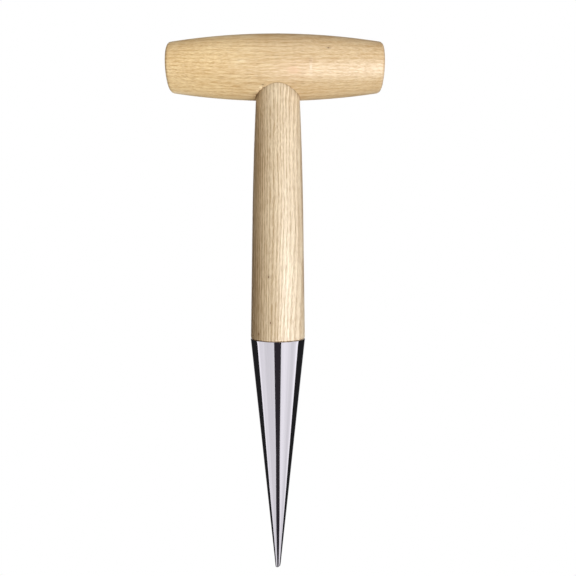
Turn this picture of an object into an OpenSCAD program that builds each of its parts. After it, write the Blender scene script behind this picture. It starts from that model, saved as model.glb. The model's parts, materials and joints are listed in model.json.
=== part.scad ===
// Garden dibber: a T-handled planting tool.
// A turned stem is glued and screwed into a turned crossbar, and its tapered foot
// carries a hollow steel cone that ends in a solid steel nose.
// Origin at the point of the nose, +Z up the stem, X along the crossbar.

/* [Overall] */
// Height from the nose to the crown of the crossbar
overall_h = 280; // [270:1:300]

/* [Crossbar] */
// Length from end face to end face
bar_len = 110.8; // [90:0.2:130]
// Radius at the middle of the barrel
bar_mid_r = 16.5; // [15.5:0.1:19]
// Radius at the ends, before their edges are rounded
bar_end_r = 12.4; // [10:0.1:15]
// Rounding of the end edges
bar_edge_r = 2.2; // [0.6:0.1:3]
// How far the middle of the barrel lies to the left of the stem
bar_offset = 1.3; // [0:0.1:1.4]
// Depth of the mortise, from the bottom of the belly
mortise_depth = 17.5; // [12:0.5:19]

/* [Stem] */
// Radius where the stem enters the crossbar
stem_top_r = 11.5; // [9.5:0.1:12.5]
// Radius where the straight taper turns into the curved neck
stem_neck_r = 13.4; // [13:0.1:14]
// Height of the start of the neck
stem_neck_z = 182; // [150:1:210]
// Radius at the shoulder, just above the cone
stem_foot_r = 14.2; // [14:0.1:15]
// Rounding of the shoulder's edge
stem_edge_r = 0.9; // [0.3:0.1:1.1]
// Height of the end of the tapered spigot inside the cone
spigot_end_z = 40; // [30:1:80]
// Bevel on the stem's two ends
stem_bevel = 0.8; // [0.3:0.1:1.2]

/* [Cone] */
// Height of the cone's rim above the nose
cone_rim_z = 121.8; // [110:0.2:130]
// Outer radius at the rim
cone_rim_r = 14.3; // [13.9:0.1:14.5]
// Radius that the cone's straight side would have at the very point
cone_point_r = 1.24; // [1.1:0.02:2]
// Thickness of the sheet
cone_wall = 1.2; // [1:0.1:1.4]
// Rounding of the rim's outer edge
cone_rim_edge_r = 0.4; // [0.2:0.1:0.6]

/* [Nose] */
// Height of the weld between the nose and the cone
nose_joint_z = 16; // [12:1:22]
// Length of the nose's wedge inside the cone
nose_wedge_len = 9; // [4:1:12]
// Rounding of the blunt end
nose_round_r = 0.8; // [0.4:0.1:1]

/* [Fasteners] */
// Radius of the screw's shank
screw_r = 1.75; // [1.5:0.05:2.2]
// Radius of the screw's countersunk head
screw_head_r = 3.5; // [3:0.1:3.8]
// Length of the screw
screw_len = 45; // [30:1:50]
// Radius of the wooden plug over the screw
plug_r = 4; // [3.9:0.1:5]
// How far the plug stands above the crown
plug_proud = 0.3; // [0:0.1:0.5]
// Length of the wooden plug, from the screw's head to its crown
plug_len = 7.8; // [5:0.1:8.5]
// Radius of the pin's shank
pin_r = 0.9; // [0.7:0.1:1.2]
// Radius of the pin's head
pin_head_r = 2.2; // [1.8:0.1:2.6]
// Length of the pin under its head
pin_len = 11; // [8:1:12]
// Distance of the pin below the cone's rim
pin_drop = 9; // [6:1:20]

/* [Hidden] */
$fn = 96;

// Steps along a small rounding, the barrel's belly, the stem's neck and the pin's dome
edge_steps = 6;
belly_steps = 28;
neck_steps = 12;
dome_steps = 5;

// How far a cut runs past the surface it opens
cut_over = 1;

// Crossbar
bar_half = bar_len / 2;
bar_axis_z = overall_h - bar_mid_r;
bar_belly_z = overall_h - 2 * bar_mid_r;
bar_sag = bar_mid_r - bar_end_r;
bar_belly_r = (bar_half ^ 2 + bar_sag ^ 2) / (2 * bar_sag);
bar_belly_c = bar_mid_r - bar_belly_r;
bar_edge_x = bar_half - bar_edge_r;
bar_edge_a = asin(bar_edge_x / (bar_belly_r - bar_edge_r));
bar_edge_c = bar_belly_c + (bar_belly_r - bar_edge_r) * cos(bar_edge_a);

// Stem
tenon_z = bar_belly_z + mortise_depth;
neck_len = bar_belly_z - stem_neck_z;
taper_slope = (stem_neck_r - stem_foot_r) / (stem_neck_z - cone_rim_z);
neck_bend = (stem_neck_r + taper_slope * neck_len - stem_top_r) / neck_len ^ 2;

// Cone and nose
cone_slope = (cone_rim_r - cone_point_r) / cone_rim_z;
cone_a = atan(cone_slope);
wall_across = cone_wall / cos(cone_a);
nose_c = cone_point_r + cone_slope * nose_round_r - nose_round_r / cos(cone_a);

// Screw, plug and pin
screw_head_z = overall_h + plug_proud - plug_len;
screw_head_rim = 0.4;
screw_point_len = 5;
screw_core = 0.3;
slot_w = 0.9;
slot_len = 4;
slot_depth = 1.3;
plug_bevel = 0.4;
pin_point_len = 2.5;
pin_point_r = 0.1;
pin_sink = 0.25;
pin_dome_h = 0.6;
pin_z = cone_rim_z - pin_drop;

// Points along an arc about c, from angle a0 to a1, with both ends
function arc(c, r, a0, a1, steps) =
    [for (i = [0:steps]) let (a = a0 + (a1 - a0) * i / steps) c + r * [cos(a), sin(a)]];

// Outer and inner radius of the cone at height z
function cone_r(z) = cone_point_r + cone_slope * z;
function cone_in_r(z) = cone_r(z) - wall_across;

// Radius of the neck at height z: the taper, pulled in by a parabola
function neck_r(z) =
    stem_neck_r + taper_slope * (z - stem_neck_z) - neck_bend * (z - stem_neck_z) ^ 2;

// Turned barrel about +Z, from its middle: flat ends, rounded edges, one long arc between
module barrel() {
    rotate_extrude()
        polygon(concat(
            [[0, -bar_half]],
            arc([bar_edge_c, -bar_edge_x], bar_edge_r, -90, -bar_edge_a, edge_steps),
            arc([bar_belly_c, 0], bar_belly_r, -bar_edge_a, bar_edge_a, belly_steps),
            arc([bar_edge_c, bar_edge_x], bar_edge_r, bar_edge_a, 90, edge_steps),
            [[0, bar_half]]
        ));
}

// Countersunk screw, head up, from the top of its head down
module screw_body() {
    translate([0, 0, screw_head_z])
        rotate_extrude()
            polygon([
                [0, 0],
                [screw_head_r, 0],
                [screw_head_r, -screw_head_rim],
                [screw_r, -screw_head_rim - screw_head_r + screw_r],
                [screw_r, -screw_len + screw_point_len],
                [screw_core, -screw_len],
                [0, -screw_len]
            ]);
}

// Round-headed pin, driven square to the cone's side at the back
module pin_body() {
    translate([0, cone_r(pin_z), pin_z])
        rotate([-90 - cone_a, 0, 0])
            rotate_extrude()
                polygon(concat(
                    [
                        [0, -pin_len],
                        [pin_point_r, -pin_len],
                        [pin_r, -pin_len + pin_point_len],
                        [pin_r, -pin_sink],
                        [pin_head_r, -pin_sink]
                    ],
                    [
                        for (i = [0:dome_steps])
                            let (a = 90 * i / dome_steps)
                                [pin_head_r * cos(a), pin_dome_h * sin(a)]
                    ]
                ));
}

// Crossbar: barrel on its side, mortised from below and counterbored from above
module crossbar() {
    color([0.87, 0.74, 0.55])
        difference() {
            translate([-bar_offset, 0, bar_axis_z])
                rotate([0, 90, 0])
                    barrel();
            translate([0, 0, bar_belly_z - cut_over])
                cylinder(r = stem_top_r, h = mortise_depth + cut_over);
            translate([0, 0, screw_head_z])
                cylinder(r = plug_r, h = plug_len + cut_over);
            screw_body();
        }
}

// Stem: tenon, curved neck, straight taper, shoulder and tapered spigot in one turning
module stem() {
    color([0.85, 0.76, 0.62])
        difference() {
            rotate_extrude()
                polygon(concat(
                    [
                        [0, spigot_end_z],
                        [cone_in_r(spigot_end_z) - stem_bevel, spigot_end_z],
                        [cone_in_r(spigot_end_z + stem_bevel), spigot_end_z + stem_bevel],
                        [cone_in_r(cone_rim_z), cone_rim_z]
                    ],
                    arc([stem_foot_r - stem_edge_r, cone_rim_z + stem_edge_r], stem_edge_r,
                        -90, 0, edge_steps),
                    [
                        for (i = [0:neck_steps])
                            let (z = stem_neck_z + neck_len * i / neck_steps) [neck_r(z), z]
                    ],
                    [
                        [stem_top_r, tenon_z - stem_bevel],
                        [stem_top_r - stem_bevel, tenon_z],
                        [0, tenon_z]
                    ]
                ));
            screw_body();
            pin_body();
        }
}

// Cone: rolled sheet of even thickness, open at both ends until the nose closes it
module cone() {
    color([0.78, 0.78, 0.80])
        difference() {
            rotate_extrude()
                polygon(concat(
                    [
                        [cone_in_r(nose_joint_z), nose_joint_z],
                        [cone_r(nose_joint_z), nose_joint_z]
                    ],
                    arc([cone_rim_r - cone_rim_edge_r, cone_rim_z - cone_rim_edge_r],
                        cone_rim_edge_r, 0, 90, edge_steps),
                    [[cone_in_r(cone_rim_z), cone_rim_z]]
                ));
            pin_body();
        }
}

// Nose: solid steel, blunt below, with a wedge that fills the small end of the cone
module nose() {
    color([0.72, 0.72, 0.75])
        rotate_extrude()
            polygon(concat(
                [[0, 0]],
                arc([nose_c, nose_round_r], nose_round_r, -90, -cone_a, edge_steps),
                [
                    [cone_r(nose_joint_z), nose_joint_z],
                    [cone_in_r(nose_joint_z), nose_joint_z],
                    [cone_in_r(nose_joint_z + nose_wedge_len), nose_joint_z + nose_wedge_len],
                    [0, nose_joint_z + nose_wedge_len]
                ]
            ));
}

// Screw through the crossbar into the end grain of the stem, with a cross recess
module handle_screw() {
    color([0.80, 0.76, 0.58])
        difference() {
            screw_body();
            for (turn = [0, 90])
                rotate([0, 0, turn])
                    translate([-slot_len / 2, -slot_w / 2, screw_head_z - slot_depth])
                        cube([slot_len, slot_w, slot_depth + cut_over]);
        }
}

// Plug over the screw, its top dressed to the round of the crossbar
module screw_plug() {
    color([0.83, 0.69, 0.50])
        intersection() {
            union() {
                translate([0, 0, screw_head_z])
                    cylinder(r1 = plug_r - plug_bevel, r2 = plug_r, h = plug_bevel);
                translate([0, 0, screw_head_z + plug_bevel])
                    cylinder(r = plug_r, h = plug_len);
            }
            translate([-bar_half, 0, bar_axis_z])
                rotate([0, 90, 0])
                    cylinder(r = bar_mid_r + plug_proud, h = bar_len);
        }
}

// Pin that keeps the cone on the stem
module cone_pin() {
    color([0.60, 0.60, 0.62])
        pin_body();
}

crossbar();
stem();
cone();
nose();
handle_screw();
screw_plug();
cone_pin();
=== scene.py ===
"""Garden dibber: the finished look of a turned wooden T-handle with a polished steel point.

Each sub-assembly is a class that holds its sizes, builds its meshes and dresses them in a finish.
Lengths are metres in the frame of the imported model: the point of the nose at the origin, +Z up the
stem, X along the crossbar, and -Y towards the front.
"""

import json
import logging
import math
from collections.abc import Callable, Sequence
from dataclasses import dataclass, field
from enum import Enum
from typing import Any

import bmesh
import bpy
from mathutils import Matrix, Vector


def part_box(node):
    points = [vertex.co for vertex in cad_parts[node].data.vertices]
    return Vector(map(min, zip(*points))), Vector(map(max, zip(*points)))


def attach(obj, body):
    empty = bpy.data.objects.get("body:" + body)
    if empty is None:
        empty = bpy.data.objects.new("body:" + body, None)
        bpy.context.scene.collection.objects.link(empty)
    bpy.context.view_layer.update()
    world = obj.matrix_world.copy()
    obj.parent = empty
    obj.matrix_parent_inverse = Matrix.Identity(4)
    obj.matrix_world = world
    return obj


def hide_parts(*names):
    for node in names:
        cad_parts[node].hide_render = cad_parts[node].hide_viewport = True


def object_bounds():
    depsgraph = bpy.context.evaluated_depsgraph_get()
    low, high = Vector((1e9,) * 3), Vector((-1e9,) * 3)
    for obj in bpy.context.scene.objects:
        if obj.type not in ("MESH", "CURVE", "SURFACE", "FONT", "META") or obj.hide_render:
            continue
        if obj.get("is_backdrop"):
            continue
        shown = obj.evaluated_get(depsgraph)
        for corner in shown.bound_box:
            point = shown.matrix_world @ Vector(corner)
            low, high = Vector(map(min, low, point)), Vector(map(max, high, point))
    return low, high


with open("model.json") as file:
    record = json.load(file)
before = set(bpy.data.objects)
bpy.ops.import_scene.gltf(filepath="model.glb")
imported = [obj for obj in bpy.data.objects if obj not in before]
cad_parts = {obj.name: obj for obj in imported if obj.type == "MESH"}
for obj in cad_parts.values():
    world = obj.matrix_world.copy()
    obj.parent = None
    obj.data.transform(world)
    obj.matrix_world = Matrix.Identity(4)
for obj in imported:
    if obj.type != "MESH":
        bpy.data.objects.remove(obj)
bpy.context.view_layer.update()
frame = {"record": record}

MM = 0.001
BODY = "root"
LOG = logging.getLogger("garden_dibber")
# Edges that turn by more than this stay crisp
CRISP = math.radians(35.0)
WHITE = (1.0, 1.0, 1.0, 1.0)

Point2 = tuple[float, float]
Colour = tuple[float, float, float, float]
Shaper = Callable[[float, float, float], Vector]


def paint(red: int, green: int, blue: int) -> Colour:
    """Turns a display colour, 0 to 255 a channel, into the linear colour that a shader takes."""
    return tuple(_to_linear(channel / 255) for channel in (red, green, blue)) + (1.0,)


def _to_linear(value: float) -> float:
    """Undoes the display curve of one channel, with the constants of the sRGB standard."""
    return value / 12.92 if value <= 0.04045 else ((value + 0.055) / 1.055) ** 2.4


def arc(centre: Point2, radius: float, start: float, end: float, steps: int) -> list[Point2]:
    """Points along a circular arc, with both ends.

    Args:
        centre: Centre of the arc.
        radius: Radius of the arc.
        start: First angle in degrees.
        end: Last angle in degrees.
        steps: Number of equal steps.

    Returns:
        The points, from start to end.
    """
    angles = [math.radians(start + (end - start) * i / steps) for i in range(steps + 1)]
    return [(centre[0] + radius * math.cos(a), centre[1] + radius * math.sin(a)) for a in angles]


def line(start: Point2, end: Point2, steps: int) -> list[Point2]:
    """Evenly spaced points from start to end, with both ends."""
    shares = [i / steps for i in range(steps + 1)]
    return [(start[0] + (end[0] - start[0]) * t, start[1] + (end[1] - start[1]) * t) for t in shares]


class Grain(Enum):
    """Which way the fibres of a wooden piece run."""

    ALONG_BAR = ("X", "Y", "Z")
    ALONG_STEM = ("Z", "X", "Y")


# ---------------------------------------------------------------------------------------------
# Shader work
# ---------------------------------------------------------------------------------------------


@dataclass
class Graph:
    """A shader node tree, with short calls for the nodes that the finishes are made of."""

    tree: bpy.types.NodeTree

    @classmethod
    def fresh(cls, owner: bpy.types.Material | bpy.types.World) -> "Graph":
        """The graph of a new material or world, emptied of the nodes it starts with.

        Args:
            owner: The new material or world.

        Returns:
            Its graph.
        """
        owner.use_nodes = True
        owner.node_tree.nodes.clear()
        return cls(owner.node_tree)

    def node(self, kind: str, feeds: dict[Any, Any] | None = None, **settings: Any) -> bpy.types.Node:
        """Adds a node.

        Args:
            kind: Blender's name for the node.
            feeds: Input name or index to a socket or a plain value.
            **settings: Attributes of the node.

        Returns:
            The new node.
        """
        made = self.tree.nodes.new(kind)
        for key, value in settings.items():
            setattr(made, key, value)
        for key, value in (feeds or {}).items():
            self.feed(made.inputs[key], value)
        return made

    def feed(self, socket: bpy.types.NodeSocket, value: Any) -> None:
        """Links a socket into another, or sets its plain value."""
        if isinstance(value, bpy.types.NodeSocket):
            self.tree.links.new(value, socket)
        else:
            socket.default_value = value

    def math(self, operation: str, *values: Any, clamp: bool = False) -> bpy.types.NodeSocket:
        """One Math node's result."""
        feeds = dict(enumerate(values))
        return self.node("ShaderNodeMath", feeds, operation=operation, use_clamp=clamp).outputs[0]

    def vector(self, operation: str, *values: Any) -> bpy.types.NodeSocket:
        """One Vector Math node's vector result."""
        feeds = dict(enumerate(values))
        return self.node("ShaderNodeVectorMath", feeds, operation=operation).outputs["Vector"]

    def measure(self, operation: str, *values: Any) -> bpy.types.NodeSocket:
        """One Vector Math node's result, for an operation that gives a plain number."""
        feeds = dict(enumerate(values))
        return self.node("ShaderNodeVectorMath", feeds, operation=operation).outputs["Value"]

    def stretch(self, vector: Any, factors: tuple[float, float, float]) -> bpy.types.NodeSocket:
        """A vector with each axis multiplied by its own factor."""
        return self.vector("MULTIPLY", vector, factors)

    def _noise_node(self, vector: Any, detail: float, roughness: float) -> bpy.types.Node:
        """A fractal noise node at scale 1 of the given vector."""
        return self.node("ShaderNodeTexNoise", {"Vector": vector, "Scale": 1.0, "Detail": detail,
                                                "Roughness": roughness})

    def noise(self, vector: Any, detail: float = 2.0, roughness: float = 0.5) -> bpy.types.NodeSocket:
        """Fractal noise from 0 to 1, at scale 1 of the given vector."""
        return self._noise_node(vector, detail, roughness).outputs[0]

    def sway(self, vector: Any, reach: float) -> bpy.types.NodeSocket:
        """A wandering shift across the grain, up to about half the reach either way."""
        colour = self._noise_node(vector, 2.0, 0.5).outputs["Color"]
        return self.stretch(self.vector("SUBTRACT", colour, (0.5,) * 3), (0.0, reach, reach))

    def cells(self, vector: Any) -> tuple[bpy.types.NodeSocket, bpy.types.NodeSocket]:
        """Distance to the nearest scattered point, and a random number of that point.

        Args:
            vector: Where to look, with the points about 1 apart.

        Returns:
            The distance and the random number, as sockets.
        """
        made = self.node("ShaderNodeTexVoronoi", {"Vector": vector, "Scale": 1.0})
        split = self.node("ShaderNodeSeparateColor", {0: made.outputs["Color"]})
        return made.outputs["Distance"], split.outputs[0]

    def step(self, value: Any, low: Any, high: Any, start: float = 0.0,
             end: float = 1.0) -> bpy.types.NodeSocket:
        """A smooth step from start at low to end at high. Low and high may be sockets."""
        made = self.node("ShaderNodeMapRange", {"Value": value, "From Min": low, "From Max": high,
                                                "To Min": start, "To Max": end},
                         interpolation_type="SMOOTHSTEP")
        return made.outputs["Result"]

    def blend(self, share: Any, first: Any, second: Any, mode: str = "MIX") -> bpy.types.NodeSocket:
        """Mixes two colours.

        Args:
            share: How much of the second colour, 0 to 1.
            first: Colour at 0.
            second: Colour at 1.
            mode: Blender's name for the way they mix.

        Returns:
            The mixed colour's socket.
        """
        made = self.node("ShaderNodeMix", data_type="RGBA", blend_type=mode)
        named = {socket.identifier: socket for socket in made.inputs}
        self.feed(named["Factor_Float"], share)
        self.feed(named["A_Color"], first)
        self.feed(named["B_Color"], second)
        return next(s for s in made.outputs if s.identifier == "Result_Color")

    def position_mm(self, axes: Sequence[str] = ("X", "Y", "Z")) -> bpy.types.NodeSocket:
        """The point on the object in millimetres, with its axes taken in the given order.

        Args:
            axes: Which axis becomes the first, second and third.

        Returns:
            The point's socket.
        """
        where = self.node("ShaderNodeTexCoord").outputs["Object"]
        split = self.node("ShaderNodeSeparateXYZ", {0: self.stretch(where, (1 / MM,) * 3)})
        ordered = {i: split.outputs[axis] for i, axis in enumerate(axes)}
        return self.node("ShaderNodeCombineXYZ", ordered).outputs[0]


# The groups' sockets that carry a colour, and those that carry a vector. The rest carry a number
COLOURS = ("Colour", "Pale", "Deep", "Pore", "Fleck", "Cast", "Stain", "Core")
VECTORS = ("Grain", "Pith", "Way", "Axis", "Centre", "Shape", "Where")


class Effects:
    """The shader node groups that several finishes share. Each is built the first time it is used."""

    def __init__(self) -> None:
        """Starts with no group built."""
        self._built: dict[str, bpy.types.NodeTree] = {}

    def use(self, graph: Graph, build: Callable[[], bpy.types.NodeTree],
            feeds: dict[str, Any]) -> bpy.types.Node:
        """Places a group in a tree.

        Args:
            graph: The tree that gets the group.
            build: The method below that builds the group.
            feeds: Input name to a socket or a plain value.

        Returns:
            The group's node in that tree.
        """
        name = build.__name__
        if name not in self._built:
            self._built[name] = build()
        return graph.node("ShaderNodeGroup", feeds, node_tree=self._built[name])

    @staticmethod
    def _open(name: str, takes: Sequence[str], gives: Sequence[str]) -> tuple[Graph, Any, Any]:
        """Makes an empty group with its sockets.

        Args:
            name: Name of the group.
            takes: Names of its inputs.
            gives: Names of its outputs.

        Returns:
            The group's graph, its input sockets and its output sockets.
        """
        tree = bpy.data.node_groups.new(name, "ShaderNodeTree")
        for way, labels in (("INPUT", takes), ("OUTPUT", gives)):
            for label in labels:
                sort = "Color" if label in COLOURS else "Vector" if label in VECTORS else "Float"
                tree.interface.new_socket(name=label, in_out=way, socket_type=f"NodeSocket{sort}")
        graph = Graph(tree)
        return graph, graph.node("NodeGroupInput").outputs, graph.node("NodeGroupOutput").inputs

    def timber(self) -> bpy.types.NodeTree:
        """Ash-like figure: wandering growth rings, fine fibres, dark pores and pale ray flecks.

        Returns:
            The group's node tree.
        """
        g, given, out = self._open(
            "timber",
            ("Grain", "Pith", "Ring Pitch", "Pale", "Deep", "Pore", "Fleck", "Figure", "Rings",
             "Pores", "Straightness", "Fineness"),
            ("Colour", "Height", "Roughness", "Ring"))
        # The slow drift and the quick waver of the fibres to the side, end to end, in millimetres
        drift, waver = 6.0, 0.45
        # How far the rings may wander, in rings, and the darkness of an average ring
        ring_wander, ring_middle = 1.5, 0.35
        # How much the fibres, hairs and slow clouds change the tone, and the tone without them
        fibre_share, hair_share, cloud_share, mean_share = 0.3, 0.16, 0.1, 0.42
        # How thick the pores stand in the late and in the early wood, and how strong a fleck is
        late_pores, early_pores, fleck_share = 0.4, 0.6, 0.5
        # How deep the fibres, hairs and pores sink
        fibre_sink, hair_sink, pore_sink = 0.3, 0.1, 0.75
        # The roughness, what fibres and pores add to it, and what flecks take away
        mean_rough, fibre_rough, pore_rough, fleck_gloss = 0.44, 0.06, 0.2, 0.06
        # A fine noise spread out to run from -1 to 1
        spread = (0.32, 0.68, -1.0, 1.0)

        grain = given["Grain"]
        bent = g.vector("ADD", grain, g.sway(g.stretch(grain, (0.01, 0.04, 0.04)), drift))
        bent = g.vector("ADD", bent, g.sway(g.stretch(grain, (0.03, 0.25, 0.25)), waver))
        slim = g.node("ShaderNodeCombineXYZ", {0: g.math("DIVIDE", 1.0, given["Straightness"]),
                                               1: given["Fineness"], 2: given["Fineness"]}).outputs[0]
        strand = g.vector("MULTIPLY", bent, slim)

        across = g.stretch(g.vector("SUBTRACT", bent, given["Pith"]), (0.0, 1.0, 1.0))
        reach = g.math("DIVIDE", g.measure("LENGTH", across), given["Ring Pitch"])
        uneven = g.noise(g.stretch(across, (1.0, 0.15, 0.15)), 1.0)
        ring = g.math("FRACT", g.math("MULTIPLY_ADD", uneven, ring_wander, reach))
        early = g.math("MULTIPLY", g.step(ring, 0.0, 0.12), g.step(ring, 0.2, 0.75, 1.0, 0.0))

        fibre = g.step(g.noise(g.stretch(strand, (0.17, 1.9, 1.9)), 2.0, 0.6), *spread)
        hair = g.step(g.noise(g.stretch(strand, (0.5, 4.6, 4.6)), 2.0, 0.6), *spread)
        cloud = g.step(g.noise(g.stretch(grain, (0.03, 0.11, 0.11))), 0.3, 0.7, -1.0, 1.0)

        far, pick = g.cells(g.stretch(strand, (0.22, 2.1, 2.1)))
        slot = g.math("MULTIPLY", g.step(far, 0.1, 0.42, 1.0, 0.0), g.step(pick, 0.4, 0.7))
        pore = g.math("MULTIPLY", slot, g.math("MULTIPLY_ADD", early, early_pores, late_pores))
        far, pick = g.cells(g.stretch(strand, (0.3, 1.9, 1.9)))
        fleck = g.math("MULTIPLY", g.step(far, 0.1, 0.45, 1.0, 0.0), g.step(pick, 0.6, 0.9))

        share = g.math("MULTIPLY_ADD", fibre, fibre_share, g.math("MULTIPLY", hair, hair_share))
        share = g.math("MULTIPLY_ADD", g.math("SUBTRACT", early, ring_middle), given["Rings"], share)
        share = g.math("MULTIPLY_ADD", cloud, cloud_share, share)
        share = g.math("MULTIPLY_ADD", share, given["Figure"], mean_share, clamp=True)
        colour = g.blend(share, given["Pale"], given["Deep"])
        colour = g.blend(g.math("MULTIPLY", fleck, fleck_share), colour, given["Fleck"])
        colour = g.blend(g.math("MULTIPLY", pore, given["Pores"], clamp=True), colour, given["Pore"])
        g.feed(out["Colour"], colour)
        g.feed(out["Ring"], early)

        height = g.math("MULTIPLY_ADD", fibre, -fibre_sink, 1.0)
        height = g.math("MULTIPLY_ADD", hair, -hair_sink, height)
        g.feed(out["Height"], g.math("MULTIPLY_ADD", pore, -pore_sink, height))
        rough = g.math("MULTIPLY_ADD", fibre, fibre_rough, mean_rough)
        rough = g.math("MULTIPLY_ADD", pore, pore_rough, rough)
        g.feed(out["Roughness"], g.math("MULTIPLY_ADD", fleck, -fleck_gloss, rough))
        return g.tree

    def painted_side_shade(self) -> bpy.types.NodeTree:
        """Painted shade: a slow darkening towards one side of the piece, with an edge that wanders.

        Returns:
            The group's node tree.
        """
        g, given, out = self._open(
            "painted_side_shade", ("Colour", "Grain", "Way", "Start", "End", "Cast"), ("Colour",))
        wander_mm = 5.0
        reach = g.measure("DOT_PRODUCT", given["Grain"], given["Way"])
        wander = g.noise(g.stretch(given["Grain"], (0.03, 0.25, 0.25)))
        reach = g.math("ADD", reach, g.math("MULTIPLY_ADD", wander, wander_mm, -wander_mm / 2))
        share = g.step(reach, given["Start"], given["End"])
        g.feed(out["Colour"], g.blend(share, given["Colour"], given["Cast"], "MULTIPLY"))
        return g.tree

    def end_grain(self) -> bpy.types.NodeTree:
        """Darkens and dulls the cut ends, where the surface stands square to the fibres.

        Returns:
            The group's node tree.
        """
        g, given, out = self._open(
            "end_grain", ("Colour", "Roughness", "Ring", "Axis", "Stain"), ("Colour", "Roughness"))
        # How dark the end is between its rings, how much more in them, and how much duller
        ground, ring_share, dulling = 0.3, 0.34, 0.16
        facing = g.node("ShaderNodeNewGeometry").outputs["True Normal"]
        cut = g.step(g.math("ABSOLUTE", g.measure("DOT_PRODUCT", facing, given["Axis"])), 0.45, 0.95)
        share = g.math("MULTIPLY", cut, g.math("MULTIPLY_ADD", given["Ring"], ring_share, ground))
        g.feed(out["Colour"], g.blend(share, given["Colour"], given["Stain"], "MULTIPLY"))
        g.feed(out["Roughness"], g.math("MULTIPLY_ADD", cut, dulling, given["Roughness"]))
        return g.tree

    def mark(self) -> bpy.types.NodeTree:
        """A pin knot, stain or pale scar, or a spot of painted shadow or painted highlight: a core with
        ragged edges, and a faint halo round it.

        Returns:
            The group's node tree.
        """
        g, given, out = self._open(
            "mark",
            ("Colour", "Grain", "Centre", "Shape", "Size", "Core", "Strength"),
            ("Colour",))
        # Where the core and the halo fade out, in sizes from the middle, and the halo's strength
        core_edge, halo_edge, halo_share = (0.6, 1.3), (1.0, 3.4), 0.25
        away = g.vector("MULTIPLY", g.vector("SUBTRACT", given["Grain"], given["Centre"]),
                        given["Shape"])
        ragged = g.noise(g.stretch(given["Grain"], (1.1, 2.2, 2.2)))
        far = g.math("DIVIDE", g.measure("LENGTH", away), given["Size"])
        far = g.math("MULTIPLY_ADD", ragged, 0.5, far)
        core = g.step(far, *core_edge, 1.0, 0.0)
        halo = g.math("MULTIPLY", g.step(far, *halo_edge, 1.0, 0.0), halo_share)
        share = g.math("MULTIPLY", g.math("MAXIMUM", core, halo), given["Strength"])
        g.feed(out["Colour"], g.blend(share, given["Colour"], given["Core"]))
        return g.tree

    def handling(self) -> bpy.types.NodeTree:
        """Faint cloudiness of a surface that has been wiped and held.

        Returns:
            The group's node tree.
        """
        g, given, out = self._open("handling", ("Where", "Roughness", "Amount"), ("Roughness",))
        cloud = g.noise(g.stretch(given["Where"], (0.05, 0.05, 0.05)), 3.0, 0.55)
        swing = g.math("MULTIPLY", g.step(cloud, 0.3, 0.7, -1.0, 1.0), given["Amount"])
        g.feed(out["Roughness"], g.math("ADD", given["Roughness"], swing, clamp=True))
        return g.tree

    def glue_line(self) -> bpy.types.NodeTree:
        """The broken dark line of glue and dirt where a round piece about the Z axis enters the wood.

        Returns:
            The group's node tree.
        """
        g, given, out = self._open(
            "glue_line",
            ("Colour", "Where", "Radius", "Width", "Low", "High", "Strength", "Stain"),
            ("Colour",))
        where = given["Where"]
        reach = g.measure("LENGTH", g.stretch(where, (1.0, 1.0, 0.0)))
        gap = g.math("ABSOLUTE", g.math("SUBTRACT", reach, given["Radius"]))
        near = g.step(gap, given["Width"], 0.0)
        height = g.node("ShaderNodeSeparateXYZ", {0: where}).outputs["Z"]
        inside = g.math("MULTIPLY", g.math("GREATER_THAN", height, given["Low"]),
                        g.math("LESS_THAN", height, given["High"]))
        broken = g.step(g.noise(g.stretch(where, (0.45, 0.45, 0.45)), 3.0, 0.6), 0.36, 0.6)
        share = g.math("MULTIPLY", g.math("MULTIPLY", near, inside),
                       g.math("MULTIPLY", broken, given["Strength"]))
        g.feed(out["Colour"], g.blend(share, given["Colour"], given["Stain"]))
        return g.tree

    def drawn_lines(self) -> bpy.types.NodeTree:
        """Fine polishing lines that run up and down a round steel piece about the Z axis.

        Returns:
            The group's node tree.
        """
        g, given, out = self._open("drawn_lines", ("Where", "Density"), ("Lines", "Nicks"))
        flat = g.stretch(given["Where"], (1.0, 1.0, 0.0))
        spoke = g.vector("NORMALIZE", flat)
        rays = g.node("ShaderNodeVectorMath", {0: spoke, "Scale": given["Density"]},
                      operation="SCALE").outputs["Vector"]
        rise = g.stretch(given["Where"], (0.0, 0.0, 0.035))
        g.feed(out["Lines"], g.noise(g.vector("ADD", rays, rise), 3.0, 0.65))
        nick = g.noise(g.vector("ADD", g.stretch(rays, (2.1, 2.1, 0.0)),
                                g.stretch(given["Where"], (0.3, 0.3, 0.25))))
        g.feed(out["Nicks"], g.step(nick, 0.67, 0.78))
        return g.tree


def new_material(name: str, kind: str = "ShaderNodeBsdfPrincipled",
                 ) -> tuple[bpy.types.Material, Graph, bpy.types.Node]:
    """A node material with nothing but its shader.

    Args:
        name: Name of the finish.
        kind: Blender's name for the shader's node.

    Returns:
        The material, its graph, and its shader, already joined to the output.
    """
    material = bpy.data.materials.new(name)
    graph = Graph.fresh(material)
    shader = graph.node(kind)
    graph.node("ShaderNodeOutputMaterial", {"Surface": shader.outputs[0]})
    return material, graph, shader


@dataclass(frozen=True)
class Mark:
    """A mark in the wood, or a spot of painted shadow or painted highlight: its place in the object's
    frame and its size, in millimetres.

    The shape is how much narrower than its size it is, along the grain and across it both ways.
    """

    place: tuple[float, float, float]
    size: float
    core: Colour = paint(118, 78, 42)
    strength: float = 1.0
    shape: tuple[float, float, float] = (0.6, 1.0, 1.0)


@dataclass(frozen=True)
class Joint:
    """A glue line round a piece on the stem's axis: its radius, width and heights, in millimetres."""

    radius: float
    width: float
    low: float
    high: float
    strength: float


@dataclass(frozen=True)
class PaintedSideShade:
    """Painted shade across a piece: which way it darkens and where it starts, in millimetres."""

    way: tuple[float, float, float]
    start: float
    end: float
    cast: Colour


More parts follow.
